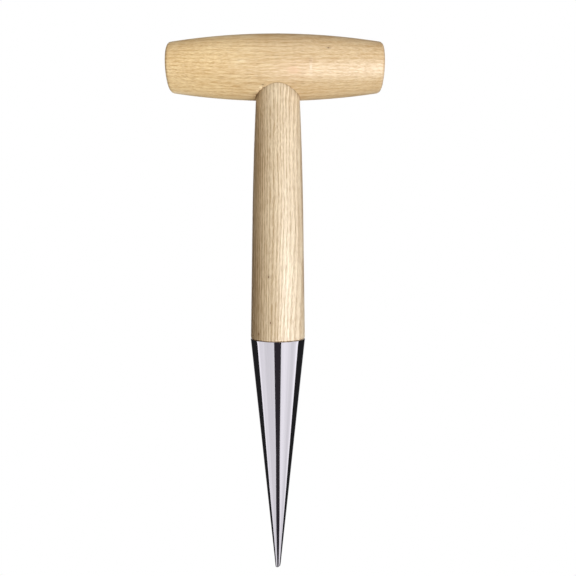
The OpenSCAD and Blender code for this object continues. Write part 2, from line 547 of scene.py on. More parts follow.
@dataclass(frozen=True)
class WoodFinish:
    """Satin-lacquered turned wood, cut from the plank with its pith at a given distance."""

    name: str
    grain: Grain
    pale: Colour
    deep: Colour
    pore: Colour
    fleck: Colour
    pith: tuple[float, float, float]
    ring_pitch: float = 1.8
    figure: float = 1.0
    rings: float = 0.25
    pores: float = 0.5
    straightness: float = 1.0
    fineness: float = 1.2
    marks: tuple[Mark, ...] = ()
    joints: tuple[Joint, ...] = ()
    # Painted shade that darkens one side of the piece
    painted_side_shade: PaintedSideShade | None = None
    stain: Colour = paint(214, 180, 130)
    dirt: Colour = paint(132, 88, 48)
    lacquer: float = 0.85
    lacquer_roughness: float = 0.32
    specular: float = 0.42
    relief: float = 0.35
    relief_depth: float = 0.06 * MM
    # How much the roughness drifts over the surface
    clouding: float = 0.03

    def ordered(self, place: Sequence[float]) -> tuple[float, ...]:
        """A point of the object with its axes in the order of the grain."""
        return tuple(place["XYZ".index(axis)] for axis in self.grain.value)

    def material(self, effects: Effects) -> bpy.types.Material:
        """Builds the material.

        Args:
            effects: The shared node groups.

        Returns:
            The finished material.
        """
        made, g, shader = new_material(self.name)
        where = g.position_mm(self.grain.value)
        figure = effects.use(g, effects.timber, {
            "Grain": where, "Pith": self.pith, "Ring Pitch": self.ring_pitch, "Pale": self.pale,
            "Deep": self.deep, "Pore": self.pore, "Fleck": self.fleck, "Figure": self.figure,
            "Rings": self.rings, "Pores": self.pores, "Straightness": self.straightness,
            "Fineness": self.fineness})
        colour = figure.outputs["Colour"]
        # Painted shade: the colour is darkened towards one side of the piece
        if self.painted_side_shade:
            side_shaded = effects.use(g, effects.painted_side_shade, {
                "Colour": colour, "Grain": where, "Way": self.ordered(self.painted_side_shade.way),
                "Start": self.painted_side_shade.start, "End": self.painted_side_shade.end,
                "Cast": self.painted_side_shade.cast})
            colour = side_shaded.outputs["Colour"]
        for mark in self.marks:
            marked = effects.use(g, effects.mark, {
                "Colour": colour, "Grain": where, "Centre": self.ordered(mark.place),
                "Shape": mark.shape, "Size": mark.size, "Core": mark.core,
                "Strength": mark.strength})
            colour = marked.outputs["Colour"]
        for joint in self.joints:
            glued = effects.use(g, effects.glue_line, {
                "Colour": colour, "Where": g.position_mm(), "Radius": joint.radius,
                "Width": joint.width, "Low": joint.low, "High": joint.high,
                "Strength": joint.strength, "Stain": self.dirt})
            colour = glued.outputs["Colour"]
        axis = tuple(1.0 if name == self.grain.value[0] else 0.0 for name in "XYZ")
        ends = effects.use(g, effects.end_grain, {
            "Colour": colour, "Roughness": figure.outputs["Roughness"],
            "Ring": figure.outputs["Ring"], "Axis": axis, "Stain": self.stain})
        held = effects.use(g, effects.handling, {
            "Where": where, "Roughness": ends.outputs["Roughness"], "Amount": self.clouding})
        g.feed(shader.inputs["Base Color"], ends.outputs["Colour"])
        g.feed(shader.inputs["Roughness"], held.outputs["Roughness"])
        bump = g.node("ShaderNodeBump", {"Height": figure.outputs["Height"],
                                         "Strength": self.relief, "Distance": self.relief_depth})
        g.feed(shader.inputs["Normal"], bump.outputs["Normal"])
        shader.inputs["Specular IOR Level"].default_value = self.specular
        shader.inputs["Coat Weight"].default_value = self.lacquer
        shader.inputs["Coat Roughness"].default_value = self.lacquer_roughness
        return made


@dataclass(frozen=True)
class SteelFinish:
    """Polished or plated steel with fine lines along it and a few nicks."""

    name: str
    tint: Colour
    shade: Colour
    roughness: float
    line_roughness: float
    density: float = 22.0
    relief: float = 0.04
    relief_depth: float = 0.02 * MM
    # How much the roughness drifts over the surface, as a share of the lines' own
    clouding: float = 0.5

    def material(self, effects: Effects) -> bpy.types.Material:
        """Builds the material.

        Args:
            effects: The shared node groups.

        Returns:
            The finished material.
        """
        made, g, shader = new_material(self.name)
        where = g.position_mm()
        drawn = effects.use(g, effects.drawn_lines, {"Where": where, "Density": self.density})
        lines = drawn.outputs["Lines"]
        base = g.math("MULTIPLY_ADD", lines, self.line_roughness, self.roughness)
        base = g.math("MULTIPLY_ADD", drawn.outputs["Nicks"], self.line_roughness, base)
        held = effects.use(g, effects.handling, {"Where": where, "Roughness": base,
                                           "Amount": self.line_roughness * self.clouding})
        g.feed(shader.inputs["Base Color"], g.blend(g.step(lines, 0.3, 0.75), self.tint, self.shade))
        g.feed(shader.inputs["Roughness"], held.outputs["Roughness"])
        bump = g.node("ShaderNodeBump", {"Height": lines, "Strength": self.relief,
                                         "Distance": self.relief_depth})
        g.feed(shader.inputs["Normal"], bump.outputs["Normal"])
        shader.inputs["Metallic"].default_value = 1.0
        return made


# ---------------------------------------------------------------------------------------------
# Mesh work
# ---------------------------------------------------------------------------------------------


def join_rings(bm: bmesh.types.BMesh, first: Sequence[Any], second: Sequence[Any]) -> None:
    """Fills the strip between two rings of points. A ring of one point is a pole.

    Args:
        bm: The mesh being built.
        first: Points of one ring.
        second: As many points of the next ring, or a single one.
    """
    count = max(len(first), len(second))
    for i in range(count):
        j = (i + 1) % count
        corners = [first[i % len(first)], first[j % len(first)],
                   second[j % len(second)], second[i % len(second)]]
        bm.faces.new(list(dict.fromkeys(corners)))


def close_mesh(bm: bmesh.types.BMesh, name: str) -> bpy.types.Object:
    """Turns a finished mesh into a smooth-shaded object in the scene, with its sharp edges crisp.

    Args:
        bm: The mesh being built. It is freed.
        name: Name of the piece.

    Returns:
        The new object.
    """
    bmesh.ops.recalc_face_normals(bm, faces=bm.faces)
    mesh = bpy.data.meshes.new(name)
    bm.to_mesh(mesh)
    bm.free()
    mesh.polygons.foreach_set("use_smooth", [True] * len(mesh.polygons))
    mesh.set_sharp_from_angle(angle=CRISP)
    made = bpy.data.objects.new(name, mesh)
    bpy.context.scene.collection.objects.link(made)
    return made


def turn_ring(bm: bmesh.types.BMesh, point: Point2, around: int,
              shape: Shaper | None = None) -> list[Any]:
    """One ring of a turned piece about the Z axis.

    Args:
        bm: The mesh being built.
        point: Radius and height of the ring.
        around: Number of points in the ring.
        shape: Gives a point from its angle, radius and height, where the ring isn't plainly round.

    Returns:
        The ring's points, or the single pole where the radius is 0.
    """
    radius, height = point
    if radius <= 0.0:
        return [bm.verts.new(shape(0.0, 0.0, height) if shape else (0.0, 0.0, height))]
    ring = []
    for i in range(around):
        angle = math.tau * i / around
        place = (radius * math.cos(angle), radius * math.sin(angle), height)
        ring.append(bm.verts.new(shape(angle, radius, height) if shape else place))
    return ring


def turn(name: str, outline: Sequence[Point2], around: int, closed: bool = False,
         shape: Shaper | None = None) -> bpy.types.Object:
    """Turns an outline about the Z axis.

    Args:
        name: Name of the piece.
        outline: Radius and height of each point, from one end to the other.
        around: Number of points in a ring.
        closed: Whether the last point joins the first, as on a tube.
        shape: See turn_ring.

    Returns:
        The turned piece.
    """
    bm = bmesh.new()
    rings = [turn_ring(bm, point, around, shape) for point in outline]
    for first, second in zip(rings, rings[1:]):
        join_rings(bm, first, second)
    if closed:
        join_rings(bm, rings[-1], rings[0])
    return close_mesh(bm, name)


def dress(piece: bpy.types.Object, material: bpy.types.Material,
          node: str) -> bpy.types.Object:
    """Gives a piece its finish and its place in the model.

    Args:
        piece: The finished mesh.
        material: Its material.
        node: The CAD node that it stands for.

    Returns:
        The same piece.
    """
    piece.data.materials.append(material)
    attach(piece, BODY)
    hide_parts(node)
    LOG.info("%s: %d faces, for %s", piece.name, len(piece.data.polygons), node)
    return piece


# ---------------------------------------------------------------------------------------------
# Sub-assemblies
# ---------------------------------------------------------------------------------------------


@dataclass(frozen=True)
class Layout:
    """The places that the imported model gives, and the few sizes inside it that no box shows."""

    bar_centre_x: float
    bar_half: float
    bar_r: float
    bar_axis_z: float
    rim_z: float
    rim_r: float
    foot_r: float
    tenon_z: float
    spigot_z: float
    joint_z: float
    wedge_z: float
    plug_r: float
    plug_z: float
    screw_z: float
    screw_low_z: float
    screw_head_r: float
    wall: float = 1.2 * MM
    bore_r: float = 11.5 * MM
    point_r: float = 1.24 * MM
    shank_r: float = 1.75 * MM
    head_rim: float = 0.4 * MM
    screw_point: float = 5.0 * MM

    @classmethod
    def measure(cls, record: dict[str, Any]) -> "Layout":
        """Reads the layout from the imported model's boxes and mounts.

        Args:
            record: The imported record.

        Returns:
            The layout, in metres.
        """
        bar_low, bar_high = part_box("crossbar")
        end = next(m for m in record["mounts"] if m["name"] == "crossbar_end_right")
        stem_low, stem_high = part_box("stem")
        cone_low, cone_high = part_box("cone")
        nose_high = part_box("nose")[1]
        plug_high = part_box("screw_plug")[1]
        screw_low, screw_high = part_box("handle_screw")
        return cls(
            bar_centre_x=(bar_low.x + bar_high.x) / 2,
            bar_half=(bar_high.x - bar_low.x) / 2,
            bar_r=bar_high.y,
            bar_axis_z=end["pos_m"][2],
            rim_z=cone_high.z,
            rim_r=cone_high.y,
            foot_r=stem_high.x,
            tenon_z=stem_high.z,
            spigot_z=stem_low.z,
            joint_z=cone_low.z,
            wedge_z=nose_high.z,
            plug_r=plug_high.x,
            plug_z=plug_high.z,
            screw_z=screw_high.z,
            screw_low_z=screw_low.z,
            screw_head_r=screw_high.x,
        )

    @property
    def belly_z(self) -> float:
        """Height of the lowest point of the crossbar's belly."""
        return self.bar_axis_z - self.bar_r

    @property
    def slope(self) -> float:
        """How fast the cone widens with height."""
        return (self.rim_r - self.point_r) / self.rim_z

    @property
    def lean(self) -> float:
        """How far the cone's side leans from upright."""
        return math.atan(self.slope)

    @property
    def sink_z(self) -> float:
        """Height where the screw's countersunk head has narrowed to its shank."""
        return self.screw_z - self.head_rim - self.screw_head_r + self.shank_r

    def cone_r(self, height: float) -> float:
        """Outer radius of the steel at a height."""
        return self.point_r + self.slope * height

    def socket_r(self, height: float) -> float:
        """Inner radius of the cone at a height."""
        return self.cone_r(height) - self.wall * math.hypot(1.0, self.slope)


@dataclass(frozen=True)
class Chip:
    """A torn spot on the mortise's lip: its angle and spread in degrees, and how far it reaches."""

    angle: float
    spread: float
    reach: float


@dataclass
class Crossbar:
    """The turned barrel across the top, with the stem's mortise below and the plug's hole above."""

    layout: Layout
    finish: WoodFinish
    end_r: float = 12.4 * MM
    edge_r: float = 2.2 * MM
    mouth_lip: float = 0.55 * MM
    chips: tuple[Chip, ...] = (
        Chip(-128.0, 4.0, 1.5 * MM),
        Chip(-142.0, 5.0, 1.2 * MM),
        Chip(-153.0, 3.0, 0.7 * MM),
        Chip(-58.0, 3.0, 0.5 * MM),
        Chip(-43.0, 4.0, 0.6 * MM),
    )
    # Waves in the torn lip in one turn
    chip_teeth: float = 61.0
    plug_lip: float = 0.12 * MM
    around: int = 160
    along: int = 160
    edge_steps: int = 8
    # Radii of the rings on an end's flat face, as shares of the whole
    face_shares: tuple[float, ...] = (0.8, 0.55, 0.3)
    mouth_reach: float = 15.0 * MM
    mouth_rows: int = 27
    # Rings from the grid to a hole's lip, how they crowd together, and rings over the lip
    mouth_steps: int = 7
    mouth_ease: float = 0.85
    lip_steps: int = 4
    plug_reach: float = 7.0 * MM
    plug_rows: int = 11
    # Share of the half length that a hole's opening in the grid may use
    hole_limit: float = 0.9
    belly_r: float = field(init=False)

    def __post_init__(self) -> None:
        """Works out the radius of the long arc along the belly."""
        sag = self.layout.bar_r - self.end_r
        self.belly_r = (self.layout.bar_half ** 2 + sag ** 2) / (2 * sag)

    def radius_at(self, x: float) -> float:
        """Radius of the belly at a distance from the middle of the barrel."""
        return self.layout.bar_r - self.belly_r + math.sqrt(self.belly_r ** 2 - x ** 2)

    def surface(self, x: float, angle: float, radius: float | None = None) -> Vector:
        """A point of the barrel.

        Args:
            x: Distance from the middle of the barrel.
            angle: Angle round the barrel, 0 at the bottom and towards the back.
            radius: Distance from the barrel's axis, the belly's own if left out.

        Returns:
            The point, in the model's frame.
        """
        reach = self.radius_at(x) if radius is None else radius
        return Vector((self.layout.bar_centre_x + x, reach * math.sin(angle),
                       self.layout.bar_axis_z - reach * math.cos(angle)))

    def stations(self) -> list[Point2]:
        """Distance from the middle and radius of each ring, from the left end's edge to the right's.

        Returns:
            The distance and radius of each ring.
        """
        edge_x = self.layout.bar_half - self.edge_r
        lean = math.asin(edge_x / (self.belly_r - self.edge_r))
        edge_c = self.layout.bar_r - self.belly_r + (self.belly_r - self.edge_r) * math.cos(lean)
        turned = arc((edge_c, edge_x), self.edge_r, math.degrees(lean), 90.0, self.edge_steps)
        corner = [(x, r) for r, x in turned]
        last_x = corner[0][0]
        belly = [(x, self.radius_at(x)) for x, _ in line((-last_x, 0.0), (last_x, 0.0), self.along)]
        face = [(self.layout.bar_half, edge_c * share) for share in self.face_shares]
        right = corner[1:] + face
        left = [(-x, r) for x, r in reversed(right)]
        return left + belly + right

    def _chip(self, phi: float, up: float) -> float:
        """How much wider the mortise's torn lip is at an angle. Only the hole that runs up is torn."""
        torn = sum(chip.reach * math.exp(-((math.degrees(phi) - chip.angle) / chip.spread) ** 2)
                   for chip in self.chips)
        return torn * (0.8 + 0.2 * math.sin(phi * self.chip_teeth)) if up > 0 else 0.0

    def _mouth(self, bm: bmesh.types.BMesh, grid: list[list[Any]], stations: list[Point2],
               columns: tuple[int, int], rows: tuple[int, int], hole_r: float, lip: float,
               up: float) -> list[Any]:
        """Runs rings from the edge of a block of the barrel's cells into a round mouth.

        Args:
            bm: The mesh being built.
            grid: The barrel's points, by station and by step round it.
            stations: The barrel's stations.
            columns: First and last station of the block.
            rows: First and last step round the barrel.
            hole_r: Radius of the hole about the stem's axis.
            lip: How far the mouth's edge is rounded over.
            up: 1 where the hole runs upwards from the mouth, -1 where it runs down.

        Returns:
            The ring on the hole's wall, just inside the mouth.
        """
        (c0, c1), (r0, r1) = columns, rows
        loop = ([(c, r0) for c in range(c0, c1)] + [(c1, r) for r in range(r0, r1)]
                + [(c, r1) for c in range(c1, c0, -1)] + [(c0, r) for r in range(r1, r0, -1)])
        shift = self.layout.bar_centre_x
        outer = [grid[c][r % self.around] for c, r in loop]
        rings: list[list[Any]] = [[] for _ in range(self.mouth_steps)]
        edge: list[tuple[Vector, Vector, Vector]] = []
        for column, row in loop:
            x0, angle0 = stations[column][0], math.tau * row / self.around
            start = self.surface(x0, angle0)
            phi = math.atan2(start.y, start.x)
            wide = lip + self._chip(phi, up)
            ends = []
            for reach in (hole_r + wide, hole_r):
                x1 = reach * math.cos(phi) - shift
                tilt = math.asin(reach * math.sin(phi) / self.radius_at(x1))
                ends.append((x1, tilt if up > 0 else math.pi - tilt))
            for i in range(self.mouth_steps):
                share = ((i + 1) / self.mouth_steps) ** self.mouth_ease
                x = x0 + (ends[0][0] - x0) * share
                angle = angle0 + (ends[0][1] - angle0) * share
                rings[i].append(bm.verts.new(self.surface(x, angle)))
            corner = self.surface(*ends[1])
            edge.append((self.surface(*ends[0]), corner, corner + Vector((0.0, 0.0, up * wide))))
        for share in ((i + 1) / self.lip_steps for i in range(self.lip_steps)):
            rest = 1.0 - share
            rings.append([bm.verts.new(a * rest ** 2 + b * 2 * rest * share + c * share ** 2)
                          for a, b, c in edge])
        for first, second in zip([outer] + rings, rings):
            join_rings(bm, first, second)
        return rings[-1]

    def _bore(self, bm: bmesh.types.BMesh, mouth: list[Any], walls: Sequence[Point2]) -> list[Any]:
        """Carries a mouth's ring down the walls of its hole.

        Args:
            bm: The mesh being built.
            mouth: The ring on the hole's wall.
            walls: Radius and height of each further ring.

        Returns:
            The last ring.
        """
        ring = mouth
        for radius, height in walls:
            turned = []
            for point in mouth:
                phi = math.atan2(point.co.y, point.co.x)
                turned.append(bm.verts.new((radius * math.cos(phi), radius * math.sin(phi), height)))
            join_rings(bm, ring, turned)
            ring = turned
        return ring

    def build(self) -> bpy.types.Object:
        """Builds the barrel with its two holes as one closed mesh.

        Returns:
            The crossbar.
        """
        lay = self.layout
        stations = self.stations()
        bm = bmesh.new()

        def block(reach: float, middle: int, rows: int) -> tuple[tuple[int, int], tuple[int, int]]:
            """The stations and steps that enclose a hole about the stem's axis."""
            inside = [i for i, (x, _) in enumerate(stations)
                      if abs(x + lay.bar_centre_x) < reach
                      and abs(x) < lay.bar_half * self.hole_limit]
            return (inside[0] - 1, inside[-1] + 1), (middle - rows, middle + rows)

        blocks = [block(self.mouth_reach, 0, self.mouth_rows),
                  block(self.plug_reach, self.around // 2, self.plug_rows)]

        def covered(column: float, row: float) -> bool:
            """Whether a cell or point lies strictly inside one of the two blocks."""
            for (c0, c1), (r0, r1) in blocks:
                turns = (row, row - self.around)
                if c0 < column < c1 and any(r0 < r < r1 for r in turns):
                    return True
            return False

        grid: list[list[Any]] = []
        for i, (x, radius) in enumerate(stations):
            grid.append([None if covered(i, j) else
                         bm.verts.new(self.surface(x, math.tau * j / self.around, radius))
                         for j in range(self.around)])
        for i in range(len(stations) - 1):
            for j in range(self.around):
                if covered(i + 0.5, j + 0.5):
                    continue
                k = (j + 1) % self.around
                bm.faces.new((grid[i][j], grid[i][k], grid[i + 1][k], grid[i + 1][j]))
        for side, ring in ((-1, grid[0]), (1, grid[-1])):
            pole = bm.verts.new((lay.bar_centre_x + side * lay.bar_half, 0.0, lay.bar_axis_z))
            join_rings(bm, ring, [pole])

        low = self._mouth(bm, grid, stations, *blocks[0], lay.bore_r, self.mouth_lip, 1.0)
        floor = self._bore(bm, low, [(lay.bore_r, lay.tenon_z)])
        high = self._mouth(bm, grid, stations, *blocks[1], lay.plug_r, self.plug_lip, -1.0)
        hole = self._bore(bm, high, [
            (lay.plug_r, lay.screw_z),
            (lay.screw_head_r, lay.screw_z),
            (lay.screw_head_r, lay.screw_z - lay.head_rim),
            (lay.shank_r, lay.sink_z),
            (lay.shank_r, lay.tenon_z),
        ])
        rims = [[bm.edges.get((a, b)) for a, b in zip(ring, ring[1:] + ring[:1])]
                for ring in (floor, hole)]
        bmesh.ops.bridge_loops(bm, edges=rims[0] + rims[1])
        return close_mesh(bm, "turned_crossbar")

    def dress(self, effects: Effects) -> list[bpy.types.Object]:
        """Builds the crossbar and gives it its finish."""
        return [dress(self.build(), self.finish.material(effects), "crossbar")]


@dataclass
class Stem:
    """The turned stem: tenon, curved neck, straight taper, rounded shoulder and tapered spigot."""

    layout: Layout
    finish: WoodFinish
    neck_r: float = 13.4 * MM
    neck_z: float = 182.0 * MM
    edge_r: float = 0.9 * MM
    bevel: float = 0.8 * MM
    around: int = 176
    edge_steps: int = 8
    spigot_steps: int = 40
    side_steps: int = 60

    def outline(self) -> list[Point2]:
        """Radius and height of the stem, from the spigot's end up and into the screw's hole.

        Returns:
            The outline's points.
        """
        lay = self.layout
        slope = (self.neck_r - lay.foot_r) / (self.neck_z - lay.rim_z)
        neck_len = lay.belly_z - self.neck_z
        bend = (self.neck_r + slope * neck_len - lay.bore_r) / neck_len ** 2
        low, rim = lay.spigot_z, lay.rim_z
        spigot = line((lay.socket_r(low + self.bevel), low + self.bevel), (lay.socket_r(rim), rim),
                      self.spigot_steps)
        shoulder = arc((lay.foot_r - self.edge_r, rim + self.edge_r), self.edge_r, -90.0, 0.0,
                       self.edge_steps)
        taper = line(shoulder[-1], (self.neck_r, self.neck_z), self.side_steps)[1:]
        neck = [(self.neck_r + slope * h - bend * h ** 2, self.neck_z + h)
                for h, _ in line((0.0, 0.0), (neck_len, 0.0), self.side_steps)[1:]]
        tenon = [(lay.bore_r, lay.tenon_z - self.bevel), (lay.bore_r - self.bevel, lay.tenon_z)]
        hole = [(lay.shank_r, lay.tenon_z), (lay.shank_r, lay.screw_low_z + lay.screw_point),
                (0.0, lay.screw_low_z)]
        start = [(0.0, low), (lay.socket_r(low) - self.bevel, low)]
        return start + spigot + shoulder + taper + neck + tenon + hole

    def dress(self, effects: Effects) -> list[bpy.types.Object]:
        """Builds the stem and gives it its finish."""
        piece = turn("turned_stem", self.outline(), self.around)
        return [dress(piece, self.finish.material(effects), "stem")]


@dataclass
class SteelPoint:
    """The rolled sheet cone with its seam, and the solid nose that closes it."""

    layout: Layout
    finish: SteelFinish
    rim_edge_r: float = 0.4 * MM
    nose_round_r: float = 0.8 * MM
    seam_angle: float = math.radians(125.0)
    seam_width: float = 0.55 * MM
    seam_height: float = 0.09 * MM
    # The blunt end's ground face: how high it reaches, its tilt, and where it starts on the round
    grind_reach: float = 2.4 * MM
    grind_tilt: float = 0.32
    grind_side: float = 0.65
    # Depth under the outside within which a point still follows the seam
    skin: float = 0.1 * MM
    around: int = 288
    side_steps: int = 90
    inside_steps: int = 30
    rim_steps: int = 6
    nose_around: int = 96
    nose_side_steps: int = 40
    blunt_steps: int = 10
    wedge_steps: int = 6

    def _seamed(self, angle: float, radius: float, height: float) -> Vector:
        """A point of the cone, raised a little along the welded seam on the outside.

        Args:
            angle: Angle round the axis.
            radius: Distance from the axis.
            height: Height above the nose's tip.

        Returns:
            The point.
        """
        swell = 0.0
        if radius > self.layout.cone_r(height) - self.skin:
            turn_by = math.remainder(angle - self.seam_angle, math.tau)
            swell = self.seam_height * math.exp(-(turn_by * radius / self.seam_width) ** 2)
        reach = radius + swell
        return Vector((reach * math.cos(angle), reach * math.sin(angle), height))

    def _ground(self, angle: float, radius: float, height: float) -> Vector:
        """A point of the nose, whose blunt end is ground a little out of square.

        Args:
            angle: Angle round the axis.
            radius: Distance from the axis.
            height: Height above the nose's tip.

        Returns:
            The point.
        """
        x, y = radius * math.cos(angle), radius * math.sin(angle)
        share = max(0.0, 1.0 - height / self.grind_reach)
        lift = self.grind_tilt * (x + self.nose_round_r * self.grind_side) * share
        return Vector((x, y, max(0.0, height + lift)))

    def cone_outline(self) -> list[Point2]:
        """The sheet's section: up the outside, over the rim, and down the inside.

        Returns:
            The section's points.
        """
        lay = self.layout
        rim_c = (lay.rim_r - self.rim_edge_r, lay.rim_z - self.rim_edge_r)
        outside = line((lay.cone_r(lay.joint_z), lay.joint_z), (lay.rim_r, rim_c[1]), self.side_steps)
        rim = arc(rim_c, self.rim_edge_r, 0.0, 90.0, self.rim_steps)[1:]
        inside = line((lay.socket_r(lay.rim_z), lay.rim_z), (lay.socket_r(lay.joint_z), lay.joint_z),
                      self.inside_steps)
        return outside + rim + inside

    def nose_outline(self) -> list[Point2]:
        """The nose's section, from the blunt end up to the top of its wedge.

        Returns:
            The section's points.
        """
        lay, round_r = self.layout, self.nose_round_r
        lean = math.degrees(lay.lean)
        centre_r = lay.cone_r(round_r) - round_r * math.hypot(1.0, lay.slope)
        blunt = [(0.0, 0.0), (centre_r * 0.5, 0.0)]
        blunt += arc((centre_r, round_r), round_r, -90.0, -lean, self.blunt_steps)
        side = line(blunt[-1], (lay.cone_r(lay.joint_z), lay.joint_z), self.nose_side_steps)[1:]
        wedge = line((lay.socket_r(lay.joint_z), lay.joint_z), (lay.socket_r(lay.wedge_z), lay.wedge_z),
                     self.wedge_steps)
        return blunt + side + wedge + [(0.0, lay.wedge_z)]

    def dress(self, effects: Effects) -> list[bpy.types.Object]:
        """Builds the cone and the nose and gives both the same polish.

        Args:
            effects: The shared node groups.

        Returns:
            The finished pieces.
        """
        material = self.finish.material(effects)
        cone = turn("steel_cone", self.cone_outline(), self.around, closed=True, shape=self._seamed)
        nose = turn("steel_nose", self.nose_outline(), self.nose_around, shape=self._ground)
        return [dress(cone, material, "cone"), dress(nose, material, "nose")]


@dataclass
class Fasteners:
    """What holds the tool together: the handle screw, its wooden plug and the cone's pin."""

    layout: Layout
    plug_finish: WoodFinish
    screw_finish: SteelFinish
    pin_finish: SteelFinish
    plug_bevel: float = 0.14 * MM
    plug_foot: float = 0.4 * MM
    # Height over the seat up to which the plug stays square
    plug_flat: float = 1.0 * MM
    plug_around: int = 72
    plug_steps: int = 8
    plug_edge_steps: int = 5
    thread_pitch: float = 1.7 * MM
    thread_depth: float = 0.55 * MM
    # The thread's share of the screw's length, the length over which it runs out at its top, and
    # its greatest depth as a share of the radius
    thread_share: float = 0.62
    thread_fade: float = 2.0 * MM
    thread_limit: float = 0.6
    screw_core: float = 0.3 * MM
    screw_around: int = 40
    shaft_steps: int = 220
    tip_steps: int = 30
    # Length, width and depth of one arm of the cross recess
    recess: tuple[float, float, float] = (4.0 * MM, 0.9 * MM, 1.3 * MM)
    pin_drop: float = 9.0 * MM
    pin_r: float = 0.9 * MM
    pin_len: float = 11.0 * MM
    pin_head_r: float = 2.2 * MM
    pin_dome: float = 0.6 * MM
    pin_sink: float = 0.25 * MM
    pin_tip_r: float = 0.1 * MM
    pin_tip_len: float = 2.5 * MM
    pin_around: int = 48
    pin_dome_steps: int = 10

    def build_plug(self) -> bpy.types.Object:
        """The plug, its top dressed to the round of the crossbar and its rim eased.

        Returns:
            The plug.
        """
        lay = self.layout
        crown_r = lay.plug_z - lay.bar_axis_z

        def crowned(angle: float, radius: float, height: float) -> Vector:
            """A point of the plug: heights above the plug's seat follow the crossbar's round.

            Args:
                angle: Angle round the axis.
                radius: Distance from the axis.
                height: Height above the nose's tip.

            Returns:
                The point.
            """
            x, y = radius * math.cos(angle), radius * math.sin(angle)
            follows = height > lay.screw_z + self.plug_flat
            drop = crown_r - math.sqrt(crown_r ** 2 - y ** 2) if follows else 0.0
            return Vector((x, y, height - drop))

        edge = arc((lay.plug_r - self.plug_bevel, lay.plug_z - self.plug_bevel), self.plug_bevel,
                   0.0, 90.0, self.plug_edge_steps)
        top = [(r, lay.plug_z) for r, _ in line((edge[-1][0], 0.0), (0.0, 0.0), self.plug_steps)[1:]]
        side = line((lay.plug_r, lay.screw_z + self.plug_foot), (lay.plug_r, edge[0][1]),
                    self.plug_steps)[:-1]
        foot = [(0.0, lay.screw_z), (lay.plug_r - self.plug_foot, lay.screw_z)]
        return turn("crown_plug", foot + side + edge + top, self.plug_around, shape=crowned)

    def build_screw(self) -> bpy.types.Object:
        """The countersunk wood screw, with a cut thread and a cross recess.

        Returns:
            The screw.
        """
        lay = self.layout
        top, low, shank = lay.screw_z, lay.screw_low_z, lay.shank_r
        thread_top = low + (top - low) * self.thread_share
        point_z = low + lay.screw_point

        def threaded(angle: float, radius: float, height: float) -> Vector:
            """A point of the screw, sunk between the turns of the thread.

            Args:
                angle: Angle round the axis.
                radius: Distance from the axis.
                height: Height above the nose's tip.

            Returns:
                The point.
            """
            reach = radius
            if height < thread_top and radius > 0.0:
                turns = height / self.thread_pitch - angle / math.tau
                saw = abs(2.0 * (turns - math.floor(turns)) - 1.0)
                fade = min(1.0, (thread_top - height) / self.thread_fade)
                sunk = min(self.thread_depth, radius * self.thread_limit) * fade
                reach = radius - sunk * (1.0 - max(0.0, saw * 1.6 - 0.6))
            return Vector((reach * math.cos(angle), reach * math.sin(angle), height))

        head = [(0.0, top), (lay.screw_head_r, top), (lay.screw_head_r, top - lay.head_rim)]
        shaft = line((shank, lay.sink_z), (shank, point_z), self.shaft_steps)
        tip = line((shank, point_z), (self.screw_core, low), self.tip_steps)[1:]
        screw = turn("threaded_screw", head + shaft + tip + [(0.0, low)], self.screw_around,
                     shape=threaded)
        for turn_by in (0.0, math.pi / 2):
            cutter = self._slab(turn_by)
            cut = screw.modifiers.new("recess", "BOOLEAN")
            cut.operation, cut.solver, cut.object = "DIFFERENCE", "EXACT", cutter
            graph = bpy.context.evaluated_depsgraph_get()
            cut_mesh = bpy.data.meshes.new_from_object(screw.evaluated_get(graph))
            screw.modifiers.clear()
            screw.data = cut_mesh
            bpy.data.objects.remove(cutter)
        return screw

    def _slab(self, turn_by: float) -> bpy.types.Object:
        """A flat cutter for one arm of the cross recess, half of it proud of the screw's head.

        Args:
            turn_by: Angle of the arm about the screw's axis.

        Returns:
            The cutter.
        """
        length, width, depth = self.recess
        bm = bmesh.new()
        sink = Matrix.Translation((0.0, 0.0, self.layout.screw_z))
        spin = Matrix.Rotation(turn_by, 4, "Z")
        size = Matrix.Diagonal((length, width, depth * 2, 1.0))
        bmesh.ops.create_cube(bm, size=1.0, matrix=sink @ spin @ size)
        return close_mesh(bm, "recess_cutter")

    def build_pin(self) -> bpy.types.Object:
        """The round-headed pin, square to the cone's side at the back.

        Returns:
            The pin, in its place.
        """
        head = [(self.pin_r, -self.pin_sink), (self.pin_head_r * 0.97, -self.pin_sink),
                (self.pin_head_r, -self.pin_sink * 0.6)]
        round_off = arc((0.0, 0.0), 1.0, 0.0, 90.0, self.pin_dome_steps)[:-1]
        dome = [(self.pin_head_r * across, self.pin_dome * up) for across, up in round_off]
        shank = [(0.0, -self.pin_len), (self.pin_tip_r, -self.pin_len),
                 (self.pin_r, self.pin_tip_len - self.pin_len)]
        pin = turn("cone_pin_nail", shank + head + dome + [(0.0, self.pin_dome)], self.pin_around)
        height = self.layout.rim_z - self.pin_drop
        place = Matrix.Translation((0.0, self.layout.cone_r(height), height))
        pin.data.transform(place @ Matrix.Rotation(-math.pi / 2 - self.layout.lean, 4, "X"))
        return pin

    def dress_plug(self, effects: Effects) -> list[bpy.types.Object]:
        """Builds the plug and gives it its finish."""
        return [dress(self.build_plug(), self.plug_finish.material(effects), "screw_plug")]

    def dress_metal(self, effects: Effects) -> list[bpy.types.Object]:
        """Builds the screw and the pin and gives each its finish.

        Args:
            effects: The shared node groups.

        Returns:
            The finished pieces.
        """
        screw = dress(self.build_screw(), self.screw_finish.material(effects),
                      "handle_screw")
        pin = dress(self.build_pin(), self.pin_finish.material(effects), "cone_pin")
        return [screw, pin]


# ---------------------------------------------------------------------------------------------
# Studio
# ---------------------------------------------------------------------------------------------


